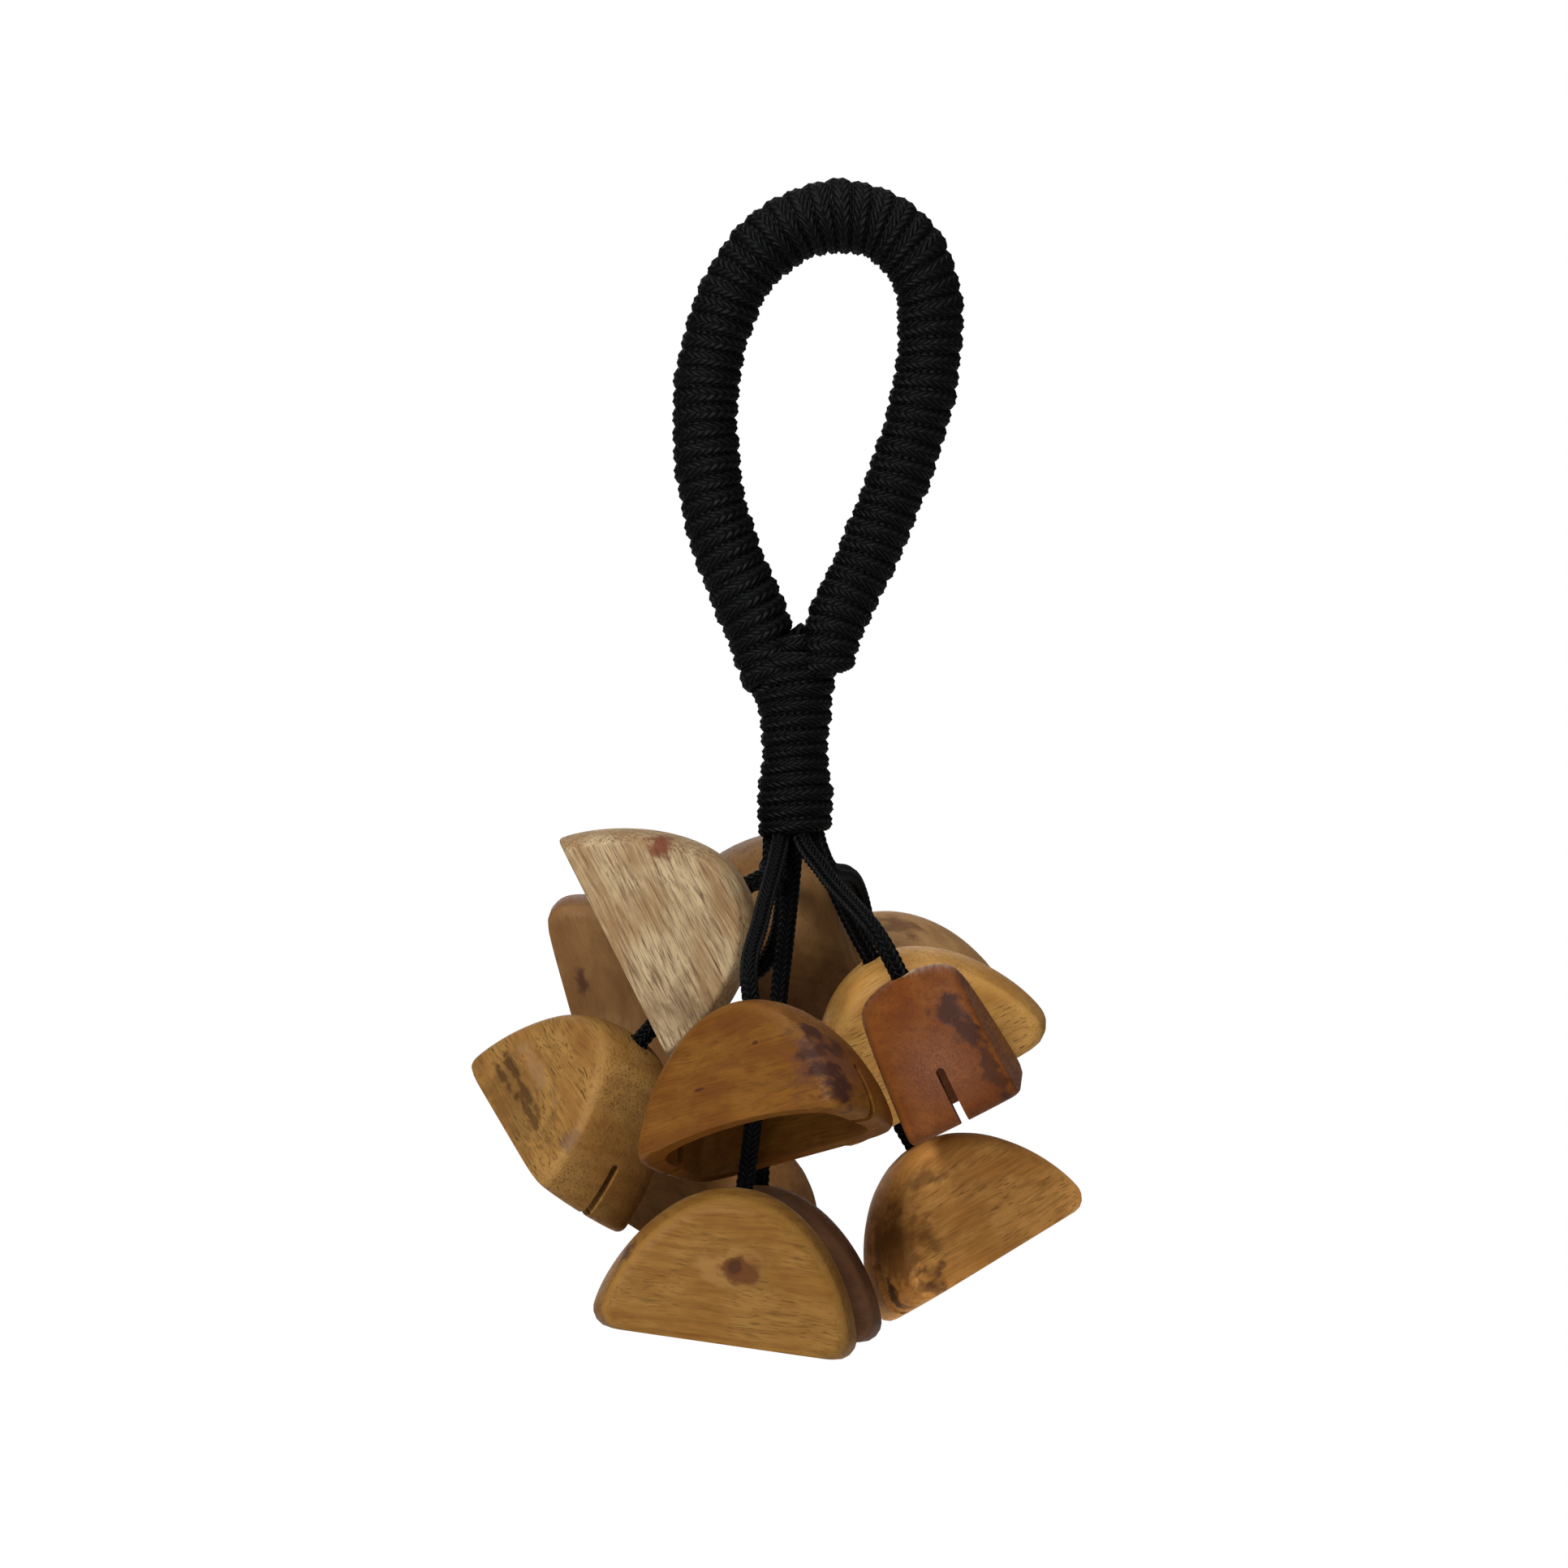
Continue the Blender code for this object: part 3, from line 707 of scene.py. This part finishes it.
class Finish:
    """A material under construction: its nodes, and short ways to add to them."""

    def __init__(self, name):
        self.material = bpy.data.materials.new(name)
        self.material.use_nodes = True
        self.tree = self.material.node_tree
        self.shader = self.tree.nodes["Principled BSDF"]

    def feed(self, socket, value):
        """Links another node's output to the socket, or sets it to a plain value."""
        if isinstance(value, bpy.types.NodeSocket):
            self.tree.links.new(value, socket)
        else:
            socket.default_value = value

    def add(self, kind, inputs, output=0, **settings):
        """A node with its inputs linked or set. It returns one of the node's outputs."""
        node = self.tree.nodes.new(kind)
        for name, value in settings.items():
            setattr(node, name, value)
        for key, value in inputs.items():
            self.feed(node.inputs[key], value)
        return node.outputs[output]

    def set(self, name, value):
        self.feed(self.shader.inputs[name], value)

    def coordinates(self, kind):
        return self.add("ShaderNodeTexCoord", {}, output=kind)

    def parts(self, vector):
        """The vector's three parts."""
        node = self.tree.nodes.new("ShaderNodeSeparateXYZ")
        self.tree.links.new(vector, node.inputs[0])
        return node.outputs

    def vectors(self, operation, one, two):
        return self.add("ShaderNodeVectorMath", {0: one, 1: two}, operation=operation)

    def scaled(self, vector, scale):
        return self.vectors("MULTIPLY", vector, scale)

    def length(self, vector):
        return self.add("ShaderNodeVectorMath", {0: vector}, output="Value", operation="LENGTH")

    def noise(self, vector, scale, detail=2.0):
        return self.add("ShaderNodeTexNoise", {"Vector": vector, "Scale": scale, "Detail": detail})

    def step(self, value, low, high, to_low=0.0, to_high=1.0):
        """The value mapped smoothly from low and high to to_low and to_high."""
        return self.add("ShaderNodeMapRange", {"Value": value, "From Min": low, "From Max": high,
                                               "To Min": to_low, "To Max": to_high},
                        interpolation_type="SMOOTHSTEP")

    def math(self, operation, one, two=0.0):
        return self.add("ShaderNodeMath", {0: one, 1: two}, operation=operation)

    def mix(self, share, one, two):
        """Colour two over colour one."""
        inputs = {MIX_SHARE: share, MIX_ONE: one, MIX_TWO: two}
        return self.add("ShaderNodeMix", inputs, output=MIX_RESULT, data_type="RGBA")


# The colours of the cord: painted shade between its stitches, the cord on them, and its palest yarns
BRAID_GAP_PAINTED_SHADE = (0.0004, 0.0004, 0.0005, 1.0)
BRAID_GREENISH = (0.0026, 0.0030, 0.0028, 1.0)
BRAID_BLUISH = (0.0030, 0.0031, 0.0040, 1.0)
BRAID_YARN = (0.013, 0.014, 0.0155, 1.0)


def cord_finish():
    """Black braided cord: slanted stitches in chevrons, with painted shade between them, and paler
    yarns.
    """
    finish = Finish("black_braid")
    braid = finish.add("ShaderNodeAttribute", {}, output="Vector", attribute_name="braid")
    distance, turn = finish.parts(braid)[:2]
    column = finish.math("MULTIPLY", turn, float(STITCH_COLUMNS))
    share = finish.math("FRACT", column)
    odd = finish.math("MODULO", finish.math("FLOOR", column), 2.0)
    way = finish.math("SUBTRACT", 1.0, finish.math("MULTIPLY", odd, 2.0))
    slant = finish.math("MULTIPLY", finish.math("SUBTRACT", share, 0.5), way)
    slant = finish.math("MULTIPLY", slant, STITCH_SLANT)
    phase = finish.math("ADD", finish.math("DIVIDE", distance, STITCH_PITCH), slant)
    wave = finish.math("COSINE", finish.math("MULTIPLY", phase, math.tau))
    wave = finish.math("ADD", finish.math("MULTIPLY", wave, 0.5), 0.5)
    ridge = finish.math("SINE", finish.math("MULTIPLY", share, math.pi))
    across = finish.math("POWER", finish.math("ABSOLUTE", ridge), COLUMN_POWER)
    stitch = finish.math("MULTIPLY", finish.math("POWER", wave, STITCH_POWER), across)

    place = finish.coordinates("Object")
    slow = finish.step(finish.noise(place, 120.0), 0.35, 0.65)
    yarn = finish.noise(place, 3000.0, 3.0)
    top = finish.mix(slow, BRAID_GREENISH, BRAID_BLUISH)
    top = finish.mix(finish.step(yarn, 0.50, 0.78), top, BRAID_YARN)
    # Between the stitches the cord's colour falls to a painted shade.
    colour = finish.mix(finish.step(stitch, 0.35, 0.9), BRAID_GAP_PAINTED_SHADE, top)
    finish.set("Base Color", colour)
    finish.set("Roughness", finish.step(yarn, 0.3, 0.7, 0.40, 0.60))
    finish.set("Specular IOR Level", 0.10)
    height = finish.math("ADD", stitch, finish.math("MULTIPLY", yarn, 0.25))
    bump = finish.add("ShaderNodeBump", {"Height": height, "Strength": 0.9, "Distance": 0.4 * MM})
    finish.set("Normal", bump)
    return finish.material


# The noises of the wood's grain: how their coordinates are scaled along the grain and across it,
# their scale and their detail
GRAIN = {
    "fibres": ((0.10, 1.8, 1.8), 1.0, 4.0),
    "dashes": ((0.18, 3.2, 3.2), 1.0, 1.0),
    "patches": ((0.55, 1.0, 1.0), 0.085, 3.0),
    "clouds": ((0.5, 1.0, 1.0), 0.28, 4.0),
}


def wood_finish(name, light, base, dark, pith=(0.0, 30.0, -25.0), ring=3.2, rings=0.16, pores=0.3,
                fibre=0.3, roughness=0.5, marks=(), warp=6.0, end_grain=0.2, edge_wear_and_highlight=0.45):
    """Wood with its grain along the shell's rim. Its lengths are in millimetres.

    pith is where the growth rings have their middle, ring their spacing and warp how far the grain
    strays. rings, pores, fibre and end_grain are how strongly each of these shows, and
    edge_wear_and_highlight how much the rounded ridges are lightened, partly as worn wood and partly
    as a painted highlight. A mark is a centre, radii, a colour, a strength and how soft its edge is,
    from 0 to 1.
    """
    finish = Finish(name)
    place = finish.scaled(finish.coordinates("Object"), (1.0 / MM, 1.0 / MM, 1.0 / MM))
    drift = finish.add("ShaderNodeTexNoise", {"Vector": finish.scaled(place, (0.6, 1.0, 1.0)),
                                              "Scale": 0.045, "Detail": 2.0}, output="Color")
    drift = finish.vectors("SUBTRACT", drift, (0.5, 0.5, 0.5))
    warped = finish.vectors("ADD", place, finish.scaled(drift, (warp * 2, warp * 2, warp * 2)))

    from_pith = finish.vectors("SUBTRACT", finish.scaled(warped, (0.05, 1.0, 1.0)), pith)
    phase = finish.math("MULTIPLY", finish.length(from_pith), math.tau / ring)
    late_wood = finish.step(finish.math("SINE", phase), -0.2, 1.0)

    fibres, dashes, patches, clouds = [
        finish.noise(finish.scaled(warped, GRAIN[kind][0]), *GRAIN[kind][1:])
        for kind in ("fibres", "dashes", "patches", "clouds")]
    speckle = finish.noise(place, 4.5, 2.0)

    colour = finish.mix(finish.step(patches, 0.38, 0.62), base, light)
    rich = tuple(0.55 * one + 0.45 * two for one, two in zip(base, dark))
    colour = finish.mix(finish.step(clouds, 0.42, 0.72, 0.0, 0.55), colour, rich)
    shown = finish.step(clouds, 0.25, 0.60, 1.4 * rings, 0.5 * rings)
    colour = finish.mix(finish.math("MULTIPLY", late_wood, shown), colour, dark)
    colour = finish.mix(finish.step(fibres, 0.48, 0.72, 0.0, fibre), colour, dark)
    colour = finish.mix(finish.step(fibres, 0.46, 0.28, 0.0, 0.8 * fibre), colour, light)
    pore = finish.step(dashes, 0.60, 0.68)
    pore = finish.math("MULTIPLY", pore, finish.step(patches, 0.42, 0.56))
    deep = tuple(0.35 * part for part in dark[:3]) + (1.0,)
    colour = finish.mix(finish.math("MULTIPLY", pore, pores), colour, deep)
    colour = finish.mix(finish.step(speckle, 0.42, 0.75, 0.0, 0.16), colour, dark)

    facing = finish.parts(finish.coordinates("Normal"))
    end_on = finish.step(finish.math("ABSOLUTE", facing[0]), 0.45, 0.95, 0.0, end_grain)
    colour = finish.mix(end_on, colour, dark)
    # Rounded ridges, turned part way from the faces, are lightened: partly worn wood, partly a
    # painted highlight.
    forward = finish.math("ABSOLUTE", facing[1])
    edge = finish.math("MULTIPLY", finish.step(forward, 0.35, 0.6, 0.0, edge_wear_and_highlight),
                       finish.step(forward, 0.97, 0.75))
    colour = finish.mix(edge, colour, light)

    ragged = finish.noise(finish.scaled(place, (0.7, 1.0, 1.0)), 0.30, 3.0)
    for centre, radii, tint, strength, softness in marks:
        offset = finish.vectors("SUBTRACT", place, centre)
        away = finish.length(finish.scaled(offset, tuple(1.0 / reach for reach in radii)))
        raggedness = 0.10 + 0.34 * softness
        away = finish.math("ADD", away, finish.step(ragged, 0.3, 0.7, -raggedness, raggedness))
        share = finish.step(away, 1.02 + 0.1 * softness, 0.85 - 0.6 * softness, 0.0, strength)
        colour = finish.mix(share, colour, tint)

    finish.set("Base Color", colour)
    finish.set("Roughness", finish.step(fibres, 0.3, 0.7, roughness - 0.05, roughness + 0.12))
    finish.set("Specular IOR Level", 0.12)
    height = finish.math("SUBTRACT", finish.math("MULTIPLY", fibres, 0.6),
                         finish.math("MULTIPLY", pore, 0.5))
    height = finish.math("ADD", height, finish.math("MULTIPLY", speckle, 0.25))
    bump = finish.add("ShaderNodeBump", {"Height": height, "Strength": 0.2 + fibre * 0.8,
                                         "Distance": 0.25 * MM})
    finish.set("Normal", bump)
    return finish.material


# Colours of the marks on the wood
PURPLE = (0.042, 0.014, 0.008, 1.0)
MAUVE = (0.105, 0.037, 0.018, 1.0)
KNOT_RED = (0.140, 0.018, 0.007, 1.0)
KNOT_BROWN = (0.095, 0.026, 0.006, 1.0)
HOLE_RIM = (0.44, 0.29, 0.13, 1.0)
STREAK_BROWN = (0.050, 0.021, 0.007, 1.0)

# Each shell's wood: its slot, the ridge's radius and the rim's scoop in millimetres, and
# the finish's colours and marks
LOOKS = {
    "left_front_upper": ("grey_tan_wood", 0.9, 0.0, dict(
        light=(0.545, 0.410, 0.234, 1.0), base=(0.346, 0.216, 0.101, 1.0),
        dark=(0.126, 0.061, 0.028, 1.0),
        ring=2.4, rings=0.2, pores=0.45, fibre=0.8, roughness=0.62, end_grain=0.1, edge_wear_and_highlight=0.0, warp=2.0,
        marks=[((-19.0, -12.5, 22.5), (4.8, 5.5, 4.8), KNOT_RED, 0.8, 0.8),
               ((22.0, -14.0, 8.0), (10.0, 6.0, 10.0), (0.17, 0.10, 0.05, 1.0), 0.55, 1.0)])),
    "left_front_lower": ("tan_wood", 1.9, 0.0, dict(
        light=(0.354, 0.187, 0.050, 1.0), base=(0.287, 0.134, 0.032, 1.0),
        dark=(0.096, 0.038, 0.009, 1.0),
        pith=(0.0, 4.0, -18.0), ring=4.4, rings=0.2, pores=0.75, fibre=0.5, warp=3.0,
        marks=[((-4.0, -14.5, 7.0), (27.0, 5.0, 10.5), (0.120, 0.058, 0.017, 1.0), 0.55, 0.9),
               ((-6.0, -14.5, 15.0), (15.0, 4.0, 3.0), (0.34, 0.190, 0.085, 1.0), 0.5, 0.9),
               ((-9.0, -14.5, 10.0), (19.0, 4.0, 1.3), STREAK_BROWN, 0.7, 0.9),
               ((-14.0, -14.5, 6.8), (16.0, 4.0, 1.1), STREAK_BROWN, 0.7, 0.9),
               ((7.0, -14.5, 7.8), (15.0, 4.0, 1.1), STREAK_BROWN, 0.6, 0.9),
               ((24.9, -14.2, 13.4), (3.6, 3.0, 3.8), (0.14, 0.070, 0.042, 1.0), 0.6, 0.9)])),
    "left": ("tan_wood", 2.0, 0.0, dict(
        light=(0.231, 0.118, 0.042, 1.0), base=(0.183, 0.085, 0.027, 1.0),
        dark=(0.095, 0.037, 0.012, 1.0),
        rings=0.1, pores=0.1, fibre=0.22,
        marks=[((-9.5, -15.0, 4.9), (3.6, 2.6, 2.0), PURPLE, 0.8, 0.7)])),
    "back_left_upper": ("tan_wood", 2.0, 0.0, dict(
        light=(0.195, 0.101, 0.035, 1.0), base=(0.150, 0.069, 0.021, 1.0),
        dark=(0.060, 0.024, 0.008, 1.0),
        rings=0.14, pores=0.2, fibre=0.3)),
    "back_left_lower": ("tan_wood", 2.0, 0.0, dict(
        light=(0.26, 0.125, 0.04, 1.0), base=(0.20, 0.09, 0.028, 1.0),
        dark=(0.09, 0.036, 0.012, 1.0),
        rings=0.14, pores=0.15, fibre=0.3)),
    "back_right": ("tan_wood", 2.0, 0.0, dict(
        light=(0.525, 0.297, 0.119, 1.0), base=(0.420, 0.217, 0.077, 1.0),
        dark=(0.195, 0.084, 0.031, 1.0),
        rings=0.1, pores=0.1, fibre=0.22,
        marks=[((8.7, 1.9, 35.4), (8.0, 6.0, 4.5), (0.15, 0.062, 0.032, 1.0), 0.65, 0.9)])),
    "right_upper": ("honey_wood", 2.0, 0.0, dict(
        light=(0.500, 0.268, 0.071, 1.0), base=(0.413, 0.201, 0.044, 1.0),
        dark=(0.188, 0.073, 0.015, 1.0),
        rings=0.12, pores=0.7, fibre=0.32, warp=3.0)),
    "right_lower": ("honey_wood", 1.9, 0.0, dict(
        light=(0.808, 0.390, 0.102, 1.0), base=(0.651, 0.280, 0.062, 1.0),
        dark=(0.224, 0.084, 0.020, 1.0),
        pith=(0.0, 20.0, -30.0), ring=2.6, rings=0.14, pores=0.55, fibre=0.4, warp=2.2,
        marks=[((-24.0, -8.0, 16.0), (10.0, 14.0, 14.0), (0.19, 0.070, 0.016, 1.0), 0.7, 0.8),
               ((-9.0, -14.0, 27.0), (6.0, 5.0, 4.0), MAUVE, 0.55, 0.8),
               ((-29.2, -4.0, 5.0), (3.2, 3.0, 6.0), PURPLE, 0.85, 0.8),
               ((-22.0, -12.5, 5.0), (4.5, 4.5, 5.5), MAUVE, 0.8, 0.8)])),
    "right_front": ("red_brown_wood", 1.9, 0.0, dict(
        light=(0.215, 0.068, 0.013, 1.0), base=(0.155, 0.042, 0.007, 1.0),
        dark=(0.060, 0.014, 0.004, 1.0),
        rings=0.14, pores=0.2, fibre=0.36, roughness=0.46, warp=3.5,
        marks=[((-21.5, -9.5, 22.0), (6.5, 4.5, 11.0), MAUVE, 0.7, 0.6),
               ((-18.5, -8.0, 26.5), (6.4, 5.0, 6.0), PURPLE, 0.9, 0.8),
               ((-23.5, -10.5, 20.0), (5.0, 4.4, 8.0), PURPLE, 0.9, 0.8),
               ((-29.0, -11.8, 7.7), (3.4, 3.4, 9.0), PURPLE, 0.8, 0.8),
               ((0.0, 0.0, 37.5), (4.2, 4.2, 2.2), HOLE_RIM, 0.8, 0.6)])),
    "front_upper": ("amber_wood", 2.0, 3.6, dict(
        light=(0.193, 0.077, 0.011, 1.0), base=(0.143, 0.048, 0.006, 1.0),
        dark=(0.068, 0.019, 0.002, 1.0),
        pith=(0.0, 10.0, -12.0), ring=5.5, rings=0.2, pores=0.3, fibre=0.4, roughness=0.46, warp=3.5,
        marks=[((25.0, -9.0, 14.0), (9.5, 12.0, 14.0), MAUVE, 0.8, 0.7),
               ((21.5, -9.5, 23.0), (4.4, 6.0, 3.4), PURPLE, 0.9, 0.75),
               ((25.6, -3.5, 18.5), (4.0, 6.0, 3.2), PURPLE, 0.9, 0.75),
               ((23.0, -12.5, 16.5), (4.0, 5.0, 3.2), PURPLE, 0.9, 0.75),
               ((26.5, -12.0, 11.0), (5.2, 5.6, 3.8), PURPLE, 0.95, 0.7),
               ((28.0, -9.5, 5.4), (6.4, 7.6, 4.6), PURPLE, 1.0, 0.6),
               ((8.1, -14.0, 22.6), (0.9, 1.2, 0.6), PURPLE, 0.8, 0.3),
               ((-9.3, -14.5, 14.3), (2.2, 1.2, 0.6), PURPLE, 0.8, 0.3)])),
    "front_lower": ("honey_wood", 2.0, 0.0, dict(
        light=(0.288, 0.146, 0.033, 1.0), base=(0.237, 0.107, 0.019, 1.0),
        dark=(0.122, 0.044, 0.006, 1.0),
        pith=(0.0, -8.0, 12.0), ring=2.6, rings=0.34, pores=0.45, fibre=0.42, warp=3.0, edge_wear_and_highlight=0.6,
        marks=[((0.5, -15.0, 20.0), (13.0, 5.0, 8.0), (0.18, 0.080, 0.016, 1.0), 0.6, 0.6),
               ((0.0, -15.0, 18.9), (9.0, 5.0, 5.4), (0.32, 0.165, 0.046, 1.0), 0.7, 0.5),
               ((2.3, -15.0, 18.9), (6.2, 4.0, 4.0), KNOT_BROWN, 0.85, 0.4),
               ((0.6, -15.0, 19.4), (2.2, 3.0, 2.0), (0.045, 0.016, 0.006, 1.0), 0.7, 0.6),
               ((-26.6, -9.5, 18.5), (2.4, 3.2, 6.0), PURPLE, 0.8, 0.8),
               ((0.0, 0.0, 39.4), (4.2, 4.2, 1.6), HOLE_RIM, 0.7, 0.6)])),
    "middle": ("dark_brown_wood", 2.0, 0.0, dict(
        light=(0.147, 0.066, 0.029, 1.0), base=(0.100, 0.041, 0.017, 1.0),
        dark=(0.046, 0.018, 0.010, 1.0),
        rings=0.14, pores=0.1, fibre=0.28)),
}


def make_stage():
    """A pale floor below the shaker, which fades into the white surroundings."""
    reach = 0.74
    floor_height = -0.35
    fade_from = 0.25
    fade_to = 0.68
    white = (1.0, 1.0, 1.0, 1.0)
    world_light = 0.12
    points = [(reach * math.cos(turn), reach * math.sin(turn), floor_height)
              for turn in np.linspace(0.0, math.tau, 65)[:-1]]
    finish = Finish("floor")
    finish.set("Base Color", (0.88, 0.88, 0.88, 1.0))
    finish.set("Roughness", 0.9)
    away = finish.length(finish.scaled(finish.coordinates("Object"), (1.0, 1.0, 0.0)))
    seen = finish.add("ShaderNodeLightPath", {}, output="Is Camera Ray")
    fade = finish.math("MULTIPLY", finish.step(away, fade_from, fade_to), seen)
    glow = finish.add("ShaderNodeEmission", {"Color": white, "Strength": 1.0})
    both = finish.add("ShaderNodeMixShader", {0: fade, 1: finish.shader.outputs[0], 2: glow})
    finish.tree.links.new(both, finish.tree.nodes["Material Output"].inputs["Surface"])
    add_mesh("floor", points, [tuple(range(64))], finish.material)

    world = bpy.data.worlds.new("surroundings")
    world.use_nodes = True
    bpy.context.scene.world = world
    nodes = world.node_tree.nodes
    links = world.node_tree.links
    lighting = nodes["Background"]
    lighting.inputs["Color"].default_value = white
    lighting.inputs["Strength"].default_value = world_light
    backdrop = nodes.new("ShaderNodeBackground")
    backdrop.inputs["Color"].default_value = white
    mixer = nodes.new("ShaderNodeMixShader")
    links.new(nodes.new("ShaderNodeLightPath").outputs["Is Camera Ray"], mixer.inputs[0])
    links.new(lighting.outputs[0], mixer.inputs[1])
    links.new(backdrop.outputs[0], mixer.inputs[2])
    links.new(mixer.outputs[0], nodes["World Output"].inputs["Surface"])


# Each lamp's name, place from the cluster's middle and size in metres, and power in watts
LAMPS = [
    ("key", (-0.7, -1.5, 1.0), 0.7, 34.0),
    ("fill", (1.4, -1.4, 0.1), 1.2, 3.0),
    ("top", (0.1, 0.0, 1.5), 0.9, 9.0),
    ("back", (-0.3, 1.7, 0.5), 1.2, 7.0),
]


def make_lights():
    """Soft studio light, strongest from the upper left of the front."""
    aim = Vector((-14.0, 0.0, -160.0)) * MM
    for name, offset, size, power in LAMPS:
        data = bpy.data.lights.new(name, "AREA")
        data.size = size
        data.energy = power
        lamp = bpy.data.objects.new(name, data)
        lamp.location = aim + Vector(offset)
        lamp.rotation_euler = (-Vector(offset)).to_track_quat("-Z", "Y").to_euler()
        bpy.context.scene.collection.objects.link(lamp)


def main():
    make_camera()
    braid = cord_finish()
    for strand, bearing, rows in STRANDS:
        shells = [Shell(*row) for row in rows]
        make_strand_cord(strand, bearing, shells, braid)
        for shell in shells:
            slot, ridge, scoop, look = LOOKS[shell.name]
            finish = wood_finish("wood_" + shell.name, **look)
            make_shell(shell, strand, finish, ridge * MM, scoop * MM)
    make_handle(braid)
    make_stage()
    make_lights()
    bpy.context.scene.view_settings.view_transform = "Standard"


main()
